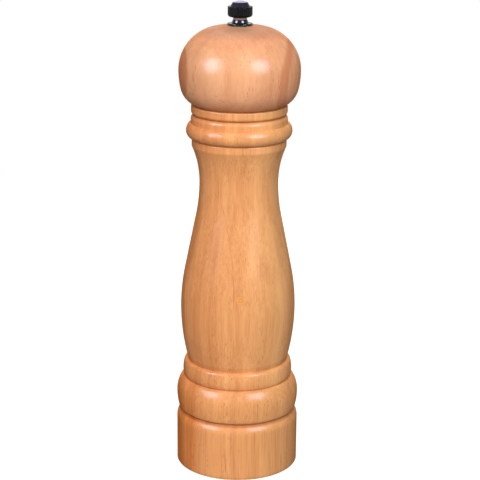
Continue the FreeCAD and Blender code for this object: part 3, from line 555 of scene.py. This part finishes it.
def mottled(name, colour, uneven, *, rough, spread, depth, scale=(1.0, 1.0, 1.0), metallic=0.0):
    """A material of one stuff: its colour swings between two tones, its roughness about a middle, and its
    surface by a depth in millimetres, all by the mottle group stretched by scale."""
    fine, slow = 0.45, 0.55
    material, tree, shader = new_material(name)
    tone, grain = mottle(tree, scale)
    share = calc(tree, "MULTIPLY_ADD", grain, fine, calc(tree, "MULTIPLY", tone, slow))
    tree.links.new(blend_colour(tree, share, colour, uneven), shader.inputs["Base Color"])
    tree.links.new(shifted(tree, share, 0.5, spread, rough), shader.inputs["Roughness"])
    raise_surface(tree, shader, grain, depth * MM)
    shader.inputs["Metallic"].default_value = metallic
    return material


def dress(material, *nodes):
    """Gives CAD nodes that keep their own shape a finished material."""
    for name in nodes:
        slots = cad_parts[name].data.materials
        slots.clear()
        slots.append(material)


housing_plastic = mottled(
    "housing_plastic", paint(34, 34, 36), paint(50, 50, 52), rough=0.46, spread=0.2, depth=0.03,
)
dress(housing_plastic, "grinder_housing", "stator_retaining_ring", "rotor_hub")


# Housing and drive-plate screws: zinc-plated steel wood screws with slotted round heads, and a washer
# under the cone. The plating is passivated, so it swings a little between blue and straw.

zinc_steel = mottled(
    "zinc_steel", paint(196, 199, 204), paint(214, 208, 192), rough=0.30, spread=0.16, depth=0.012,
    metallic=1.0,
)
dress(zinc_steel, "housing_screws", "drive_plate_screws", "rotor_washer")


# Burrs: a ring and a cone of fired alumina ceramic, unglazed, with moulded teeth.
# The ring is held in the housing, and the cone turns with the shaft on its plastic hub.

burr_ceramic = mottled(
    "burr_ceramic", paint(236, 233, 224), paint(220, 214, 201), rough=0.52, spread=0.2, depth=0.03,
)
dress(burr_ceramic, "stator", "rotor")


# Shaft bush: a flanged sleeve of natural nylon that turns in the housing's bridge with the shaft.
# It takes the upward thrust of the spring.

natural_nylon = mottled(
    "natural_nylon", paint(226, 221, 207), paint(212, 205, 188), rough=0.42, spread=0.16, depth=0.02,
)
dress(natural_nylon, "shaft_bush")


# Rotor spring: open coil of drawn spring wire round the shaft, between the cone's hub and the bush.
# Its end turns lie flat; it shortens as the knob draws the cone up. The clip is of the same steel.

def spring_mesh():
    """A round wire carried up a coil: the centre line is (R cos t, R sin t, z(t)), where z stays level
    for a little over half a turn at each end and climbs almost evenly between; the wire's circle stands
    square to that line, and both cut ends are slightly drawn in."""
    mean, wire, low, high, turns = 4.993, 0.45, 19.01, 23.74, 4.5
    flat_turns, easing, cut_end = 0.6, 0.02, 0.8
    share = np.linspace(0, 1, 281)
    t = 2 * np.pi * turns * share
    climb = np.clip((share * turns - flat_turns) / (turns - 2 * flat_turns), 0, 1)
    climb = climb + easing * np.sin(2 * np.pi * climb)
    centre = np.stack((mean * np.cos(t), mean * np.sin(t), low + (high - low) * climb), axis=-1)
    along = np.gradient(centre, axis=0)
    along /= np.linalg.norm(along, axis=1, keepdims=True)
    outward = np.stack((np.cos(t), np.sin(t), np.zeros_like(t)), axis=-1)
    upward = np.cross(along, outward)
    around = np.linspace(0, 2 * np.pi, 20, endpoint=False)[None, :, None]
    thickness = np.full(len(t), wire)
    thickness[[0, -1]] *= cut_end
    ring = outward[:, None] * np.cos(around) + upward[:, None] * np.sin(around)
    points = (centre[:, None] + ring * thickness[:, None, None]) * MM
    return grid_mesh("coil_spring", points, centre[[0, -1]] * MM)


spring_steel = mottled(
    "spring_steel", paint(150, 151, 154), paint(176, 176, 176), rough=0.30, spread=0.2, depth=0.01,
    scale=(1.0, 1.0, 0.4), metallic=1.0,
)
rotor_spring = add_piece(spring_mesh(), spring_steel, "spinner", "spring_steel", "rotor_spring")
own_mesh(rotor_spring)
dress(spring_steel, "retaining_clip")


# Drive shaft: a drawn square bar of aluminium with slightly rounded corners. Its top end is turned down
# and threaded for the knob, and its lower end is turned down and grooved for the clip.

def shaft_mesh():
    """Radius r over angle t and level z. The bar's r is the lesser of its flat, 3 / max(|cos t|, |sin t|),
    and its rounded corner at 3.95; the thread's is 2.5 less a cut of up to 0.42 that rises one pitch of
    0.8 a turn, runs out at the bar and ends in a chamfered tip; the stub is round, with a groove."""
    half, corner, corner_swell, bar_edge = 3.0, 3.95, 0.04, 0.15
    foot, bar_foot, bar_top, top = 2.3, 5.0, 210.65, 226.05
    thread, pitch, thread_cut, flank_slope, crest = 2.5, 0.8, 0.42, 1.15, 0.08
    runout_level, runout, tip, tip_cut = 211.3, 1.2, 0.6, 0.6
    stub, groove, stub_chamfer, clip_low, clip_high = 2.6, 1.9, 0.4, 3.46, 4.1
    sides = 96

    turn = np.linspace(0, 2 * np.pi, sides, endpoint=False) + np.pi / sides
    stub_rows = np.array([
        (stub - stub_chamfer, foot), (stub, foot + stub_chamfer), (stub, clip_low), (groove, clip_low),
        (groove, clip_high), (stub, clip_high), (stub, bar_foot),
    ])
    inner_levels = np.linspace(bar_foot + bar_edge, bar_top - bar_edge, 24)
    bar_level = np.concatenate(([bar_foot], inner_levels, [bar_top]))
    flat = half / np.maximum(np.abs(np.cos(turn)), np.abs(np.sin(turn)))
    square = np.minimum(flat, corner + corner_swell * (flat - corner))
    drawn_in = np.zeros_like(bar_level)
    drawn_in[[0, -1]] = bar_edge
    thread_level = np.linspace(bar_top, top, 232)
    phase = np.abs((thread_level[:, None] / pitch - turn / (2 * np.pi)) % 1 - 0.5) * 2
    depth = thread_cut * np.clip((thread_level - runout_level) / runout, 0, 1)
    ending = tip_cut * np.clip((thread_level - (top - tip)) / tip, 0, 1)
    cut = depth[:, None] * np.clip(flank_slope * phase - crest, 0, 1)
    radius = np.vstack((
        np.repeat(stub_rows[:, :1], sides, 1),
        square - drawn_in[:, None],
        thread - np.maximum(cut, ending[:, None]),
    ))
    level = np.concatenate((stub_rows[:, 1], bar_level, thread_level))
    tips = [(0, 0, foot * MM), (0, 0, top * MM)]
    return grid_mesh("shaft_bar", round_points(radius, turn, level), tips)


shaft_aluminium = mottled(
    "shaft_aluminium", paint(180, 182, 186), paint(160, 162, 166), rough=0.34, spread=0.22, depth=0.02,
    scale=(1.6, 1.6, 0.06), metallic=1.0,
)
add_piece(shaft_mesh(), shaft_aluminium, "shaft", "shaft_aluminium", "drive_shaft")


# Mill head: a flattened ball of the same hardwood, a little pinker, turned with a tenon that drops into
# the body's mouth and bored through for the shaft.

def head_outline():
    """The head's section in millimetres: round the outside from the tenon up, and back down the bore. A
    side arc, upright at the widest place, runs smoothly into a crown arc, level at the top. For a dome
    of height h, a half-width w and a crown c the side's radius is (2hc - h^2 - w^2) / 2(c - w)."""
    bore, tenon_middle, tenon, tenon_foot, tenon_edge = 4.593, 8.0, 13.7, 170.2, 0.8
    seat, widest, top, flat_depth = 180.2, (28.86, 196.7), 218.05, 0.4
    under, inset, sink, crown = 11.0, 0.71, 0.74, 63.9
    pole = (widest[0] - under - inset, seat - sink)
    underside = quarter_oval(pole, widest, under, 40)
    underside = underside[underside[:, 1] > seat]
    dome = top - widest[1]
    side = (2 * dome * crown - dome**2 - widest[0] ** 2) / (2 * (crown - widest[0]))
    side_centre, crown_centre = np.array((widest[0] - side, widest[1])), np.array((0.0, top - crown))
    meet = crown_centre + (side_centre - crown_centre) * crown / (crown - side)
    flat = (arc_reach(flat_depth, crown), top - flat_depth)
    lip = (pole[0] + arc_reach(sink, under), seat)
    tenon_corner = (tenon, tenon_foot + tenon_edge)
    pieces = [
        [(bore, tenon_foot), (tenon_middle, tenon_foot), (tenon - tenon_edge, tenon_foot)],
        [tenon_corner],
        straight(tenon_corner, (tenon, seat), 5),
        straight((tenon, seat), lip, 5),
        underside,
        arc(side_centre, widest, meet, 40)[1:],
        arc(crown_centre, meet, flat, 30)[1:],
        straight(flat, (bore, flat[1]), 3),
        straight((bore, flat[1]), (bore, tenon_foot), 10)[:-1],
    ]
    return np.vstack(pieces)


def head_wood():
    """The head's wood: the shared figure in pinker tones, with a red-brown board down its left side, a
    slanting strip of the same down its right and a faint band of it at its right edge, all weaker
    behind. The board and the edge band are partly wood tone and partly painted shade on the ball's
    edges. The top is pinker, and greyer round the collar, as painted sheen, and the underside is a
    little darker as painted shade. The tenon and the bore are raw."""
    pale, deep, pore = paint(247, 184, 138), paint(212, 138, 96), paint(142, 78, 46)
    red_brown_tone_and_shade, top_painted_sheen = paint(226, 192, 176), paint(246, 234, 238)
    grey, underside_painted_shade = paint(226, 241, 250), paint(242, 240, 240)
    bore_wall, tenon_top = (0.0062, 0.0056), (0.1806, 0.1803)
    waver_waves, waver_depth = (60.0, 60.0, 14.0), 0.006
    board_lean, board_range, board_share = 0.12, (-0.0248, -0.0258), (0.0, 0.8)
    widest, strip_slant, strip_lean, strip_middle = 0.1967, -0.10, -0.12, 0.0226
    strip_range, strip_share = (0.0025, 0.0008), (0.0, 0.6)
    edge_shade_range, edge_shade_share = (0.0256, 0.0269), (0.0, 0.15)
    behind_range, behind_share = (0.016, 0.0), (0.25, 1.0)
    top_range, collar_sheen_range, underside_shade_range = (0.207, 0.217), (0.2120, 0.2165), (0.196, 0.184)

    material, tree, shader = new_material("head_wood")
    place = own_place(tree)
    x, y, z = (put(tree, "ShaderNodeSeparateXYZ", out=axis, i0=place) for axis in range(3))
    bore = ramp(tree, from_axis(tree, place), *bore_wall)
    bare = calc(tree, "MAXIMUM", ramp(tree, z, *tenon_top), bore)
    colour = wood_finish(
        tree, shader, place, bare,
        {"Pale": pale, "Deep": deep, "Pore": pore, "Seed": 333.0, "Figure": 0.65, "Pores": 0.6},
    )

    across = shifted(tree, noise(tree, place, waver_waves, detail=3.0), 0.5, waver_depth, x)
    # The red-brown board down the left side is partly wood tone, partly painted shade on the ball's left
    # edge.
    left = calc(tree, "MULTIPLY_ADD", y, board_lean, across)
    left = ramp(tree, left, *board_range, *board_share)
    slanting = shifted(tree, z, widest, strip_slant, across)
    slanting = calc(tree, "MULTIPLY_ADD", y, strip_lean, slanting)
    strip = calc(tree, "ABSOLUTE", calc(tree, "SUBTRACT", slanting, strip_middle))
    strip = ramp(tree, strip, *strip_range, *strip_share)
    # The faint red-brown band at the right edge is partly wood tone, partly painted shade on that edge.
    right = calc(tree, "MAXIMUM", strip, ramp(tree, slanting, *edge_shade_range, *edge_shade_share))
    boards = calc(tree, "MAXIMUM", left, right)
    boards = calc(tree, "MULTIPLY", boards, ramp(tree, y, *behind_range, *behind_share))
    colour = tint(tree, boards, colour, red_brown_tone_and_shade)
    # Painted sheen tints the top pinker and greyer round the collar; painted shade darkens the underside.
    for tint_colour, levels in ((top_painted_sheen, top_range), (grey, collar_sheen_range), (underside_painted_shade, underside_shade_range)):
        colour = tint(tree, ramp(tree, z, *levels), colour, tint_colour)
    tree.links.new(colour, shader.inputs["Base Color"])
    return material


add_piece(turned_mesh("turned_head", head_outline()), head_wood(), "head", "head_wood", "mill_head")


# Drive plate: a stamped steel disc with a square hole, screwed under the tenon to turn the shaft.
# It is brushed one way.

plate_steel = mottled(
    "plate_steel", paint(162, 164, 168), paint(182, 179, 170), rough=0.36, spread=0.2, depth=0.015,
    scale=(0.25, 2.0, 1.0), metallic=1.0,
)
dress(plate_steel, "drive_plate")


# Head collar: a glossy black moulding pressed into the top of the bore, with a thin flange and a neck
# that the knob bears on, drawn in a little towards its top above a small fillet.

def collar_outline():
    """The collar's section in millimetres, up the outside from its spigot and back down its bore."""
    bore, spigot, spigot_foot = 2.58, 4.56, 213.65
    seat, seat_edge, flange, flange_top, flange_edge = 217.65, 0.15, 6.0, 218.75, 0.35
    fillet_centre, neck_foot = (4.4, flange_top + 0.56), (3.86, flange_top + 0.36)
    neck, rim, rim_edge = 3.55, 220.25, 0.25
    foot, neck_top = (fillet_centre[0], flange_top), (neck, rim - rim_edge)
    edge_foot, edge_top = (flange, flange_top - flange_edge), (flange - flange_edge, flange_top)
    pieces = [
        [(bore, spigot_foot), (spigot, spigot_foot), (spigot, seat), (flange - seat_edge, seat)],
        [(flange, seat + seat_edge)],
        straight((flange, seat + seat_edge), edge_foot, 2),
        arc((edge_top[0], edge_foot[1]), edge_foot, edge_top, 8)[1:],
        straight(edge_top, foot, 3),
        arc(fillet_centre, foot, neck_foot, 10)[1:],
        straight(neck_foot, neck_top, 8),
        arc((neck - rim_edge, rim - rim_edge), neck_top, (neck - rim_edge, rim), 8)[1:],
        straight((neck - rim_edge, rim), (bore, rim), 2),
        straight((bore, rim), (bore, spigot_foot), 4)[:-1],
    ]
    return np.vstack(pieces)


black_plastic = mottled(
    "black_plastic", paint(10, 10, 11), paint(18, 18, 20), rough=0.10, spread=0.06, depth=0.004,
)
black_shader = black_plastic.node_tree.nodes["Principled BSDF"]
black_shader.inputs["Specular IOR Level"].default_value = 0.28
collar = turned_mesh("collar", collar_outline(), around=128)
add_piece(collar, black_plastic, "head", "black_plastic", "head_collar")


# Adjusting knob: a black moulding on the shaft's thread, with a short plain hub, a finely ribbed grip and
# a smooth cone with a low domed top; a brass threaded sleeve is moulded into it.

def knob_mesh():
    """The knob's outline turned about Z, with its grip's radius drawn in between ribs: each of 36 grooves
    takes a depth d (1 + cos 36t)^3 / 8 off the radius, by the share that each stretch is ribbed."""
    bore, bore_top, hub, hub_foot, hub_edge = 2.58, 227.65, 3.3, 220.35, 0.15
    grip, grip_foot, grip_round, grip_top, grip_edge = 5.83, 221.55, 1.3, 226.45, 0.25
    cone, cone_top, cone_edge_centre = 4.6, (3.62, 228.17), (3.27, 228.07)
    dome, dome_foot, apex = 3.2, 228.45, 229.15
    ribs, rib_depth = 36, 0.30
    dome_centre = (0.0, apex - arc_radius(apex - dome_foot, dome))
    round_foot, round_top = (grip - grip_round, grip_foot), (grip, grip_foot + grip_round)
    edge_foot, edge_top = (grip, grip_top - grip_edge), (grip - grip_edge, grip_top)
    stretches = [
        ([(bore, bore_top)], 0),
        (straight((bore, bore_top), (bore, hub_foot), 6), 0),
        ([(hub - hub_edge, hub_foot), (hub, hub_foot + hub_edge)], 0),
        (straight((hub, hub_foot + hub_edge), (hub, grip_foot), 3), 0),
        (straight((hub, grip_foot), round_foot, 3), 0),
        (arc((round_foot[0], round_top[1]), round_foot, round_top, 14)[1:], 1),
        (straight(round_top, edge_foot, 12), 1),
        (arc((edge_top[0], edge_foot[1]), edge_foot, edge_top, 6)[1:], 0.5),
        (straight(edge_top, (cone, grip_top), 3), 0),
        (straight((cone, grip_top), cone_top, 8), 0),
        (arc(cone_edge_centre, cone_top, (dome, dome_foot), 8)[1:], 0),
        (arc(dome_centre, (dome, dome_foot), (0.0, apex), 25)[1:-1], 0),
    ]
    radius, level = np.vstack([points for points, _ in stretches]).T
    ribbed = np.concatenate([np.full(len(points), share, float) for points, share in stretches])
    turn = np.linspace(0, 2 * np.pi, 12 * ribs, endpoint=False)
    groove = rib_depth * (1 + np.cos(ribs * turn)) ** 3 / 8
    points = round_points(radius[:, None] - ribbed[:, None] * groove, turn, level)
    return grid_mesh("knob", points, [(0, 0, bore_top * MM), (0, 0, apex * MM)])


def knob_finish():
    """The knob's plastic: satin black, with a polished top inside its rim, and painted reflections: a
    bluer cone, a paler top and a pinkish pale face on the hub."""
    black, worn_black, cone_painted_reflection = paint(12, 12, 13), paint(22, 22, 24), paint(32, 30, 46)
    dome_painted_reflection, hub_painted_reflection, grain_depth = paint(158, 152, 180), paint(184, 156, 150), 0.01 * MM
    cone_range, top_range, hub_range = (0.22646, 0.22660), (0.22836, 0.22848), (0.22150, 0.22144)
    smooth, grain_rough = 0.18, 0.12
    material, tree, shader = new_material("knob_plastic")
    level = put(tree, "ShaderNodeSeparateXYZ", out=2, i0=own_place(tree))
    tone, grain = mottle(tree)
    cone, top, hub = (ramp(tree, level, *levels) for levels in (cone_range, top_range, hub_range))
    colour = blend_colour(tree, tone, black, worn_black)
    # Painted reflections: bluish on the cone, paler on the dome's top, pinkish pale on the hub's face.
    for share, pale in ((cone, cone_painted_reflection), (top, dome_painted_reflection), (hub, hub_painted_reflection)):
        colour = blend_colour(tree, share, colour, pale)
    tree.links.new(colour, shader.inputs["Base Color"])
    tree.links.new(top, shader.inputs["Coat Weight"])
    shader.inputs["Coat Roughness"].default_value = 0.06
    shader.inputs["Specular IOR Level"].default_value = 0.1
    rough = calc(tree, "MULTIPLY_ADD", grain, grain_rough, smooth)
    tree.links.new(rough, shader.inputs["Roughness"])
    raise_surface(tree, shader, grain, grain_depth)
    return material


add_piece(knob_mesh(), knob_finish(), "knob", "black_plastic", "adjusting_knob")
thread_brass = mottled(
    "thread_brass", paint(222, 186, 112), paint(204, 162, 88), rough=0.26, spread=0.16, depth=0.01,
    scale=(0.3, 0.3, 3.0), metallic=1.0,
)
dress(thread_brass, "knob_insert")


# Studio: a pale table in a white surround, a broad softbox above the camera and one behind, and a small
# round lamp on each side in front, that the lacquer mirrors as two soft lights.

def seen_share(tree):
    """1 for what the camera sees, straight, mirrored or through glass, and 0 for what lights things."""
    path = tree.nodes.new("ShaderNodeLightPath").outputs
    seen = calc(tree, "MAXIMUM", path["Is Camera Ray"], path["Is Glossy Ray"])
    return calc(tree, "MAXIMUM", seen, path["Is Transmission Ray"])


def studio_floor():
    """A square table that looks white, throws little light back up, and can be seen through from below."""
    half, level, grey, glow = 0.6, -0.2 * MM, 0.2, 0.92
    corners = [(-half, -half, level), (half, -half, level), (half, half, level), (-half, half, level)]
    mesh = bpy.data.meshes.new("table")
    mesh.from_pydata(corners, [], [(0, 1, 2, 3)])
    floor = bpy.data.objects.new("table", mesh)
    bpy.context.collection.objects.link(floor)
    material, tree, shader = new_material("table_white")
    shader.inputs["Base Color"].default_value = (grey, grey, grey, 1.0)
    shader.inputs["Roughness"].default_value = 0.9
    shader.inputs["Specular IOR Level"].default_value = 0.0
    shader.inputs["Emission Color"].default_value = (1.0, 1.0, 1.0, 1.0)
    tree.links.new(calc(tree, "MULTIPLY", seen_share(tree), glow), shader.inputs["Emission Strength"])
    below = put(tree, "ShaderNodeNewGeometry", out=6)
    see_through = put(tree, "ShaderNodeBsdfTransparent")
    surface = put(tree, "ShaderNodeMixShader", i0=below, i1=shader.outputs[0], i2=see_through)
    tree.links.new(surface, tree.nodes["Material Output"].inputs["Surface"])
    mesh.materials.append(material)


def softbox(name, place, target, *, width, height, power, catchlight=False):
    """An area lamp aimed at a point. A catchlight is round, cool, and shows only in gloss; any other lamp
    lights things up and leaves their gloss alone."""
    light = bpy.data.lights.new(name, "AREA")
    light.shape = "ELLIPSE" if catchlight else "RECTANGLE"
    light.size, light.size_y, light.energy = width, height, power
    light.color = (0.60, 0.74, 1.0) if catchlight else (1.0, 1.0, 1.0)
    lamp = bpy.data.objects.new(name, light)
    bpy.context.collection.objects.link(lamp)
    lamp.location = place
    lamp.visible_diffuse, lamp.visible_glossy = not catchlight, catchlight
    aim = Vector(target) - Vector(place)
    lamp.rotation_euler = aim.to_track_quat("-Z", "Y").to_euler()


def white_surround(ambient):
    """A world that looks white and lights things by no more than a little ambient light."""
    world = bpy.data.worlds.new("white_surround")
    world.use_nodes = True
    bpy.context.scene.world = world
    tree = world.node_tree
    background = tree.nodes["Background"].inputs
    background["Color"].default_value = (1.0, 1.0, 1.0, 1.0)
    strength = calc(tree, "MULTIPLY_ADD", seen_share(tree), 1 - ambient, ambient)
    tree.links.new(strength, background["Strength"])


middle, shoulder = (0, 0, 0.12), (0, 0, 0.14)
studio_floor()
softbox("softbox_front", (0.0, -1.30, 1.00), middle, width=1.9, height=1.2, power=36.0)
softbox("softbox_back", (0.0, 1.30, 1.00), middle, width=1.2, height=1.2, power=30.0)
round_lamp = {"width": 0.46, "height": 0.44, "power": 23.5, "catchlight": True}
softbox("catchlight_left", (-0.63, -0.43, 0.48), shoulder, **round_lamp)
softbox("catchlight_right", (0.49, -0.57, 0.50), shoulder, **round_lamp)
white_surround(ambient=0.09)


# Camera: 16 degrees above level, looking at the middle of the mill from a little over 0.7 m, with a
# long lens, turned by a fraction of a degree as the photograph is.

photo_width, focal_pixels, shift_pixels, sensor = 480, 1466.6, 1.65, 36.0
pitch, roll, distance, aim_height = math.radians(16.0), math.radians(0.45), 0.7127, 0.1134
camera_data = bpy.data.cameras.new("camera")
camera_data.sensor_width = sensor
camera_data.lens = focal_pixels / photo_width * sensor
camera_data.shift_x = shift_pixels / photo_width
camera = bpy.data.objects.new("camera", camera_data)
bpy.context.collection.objects.link(camera)
camera.location = (0.0, -distance * math.cos(pitch), aim_height + distance * math.sin(pitch))
camera.rotation_euler = (math.pi / 2 - pitch, 0.0, 0.0)
camera.rotation_euler.rotate_axis("Z", roll)
bpy.context.scene.camera = camera
bpy.context.scene.view_settings.view_transform = "Standard"
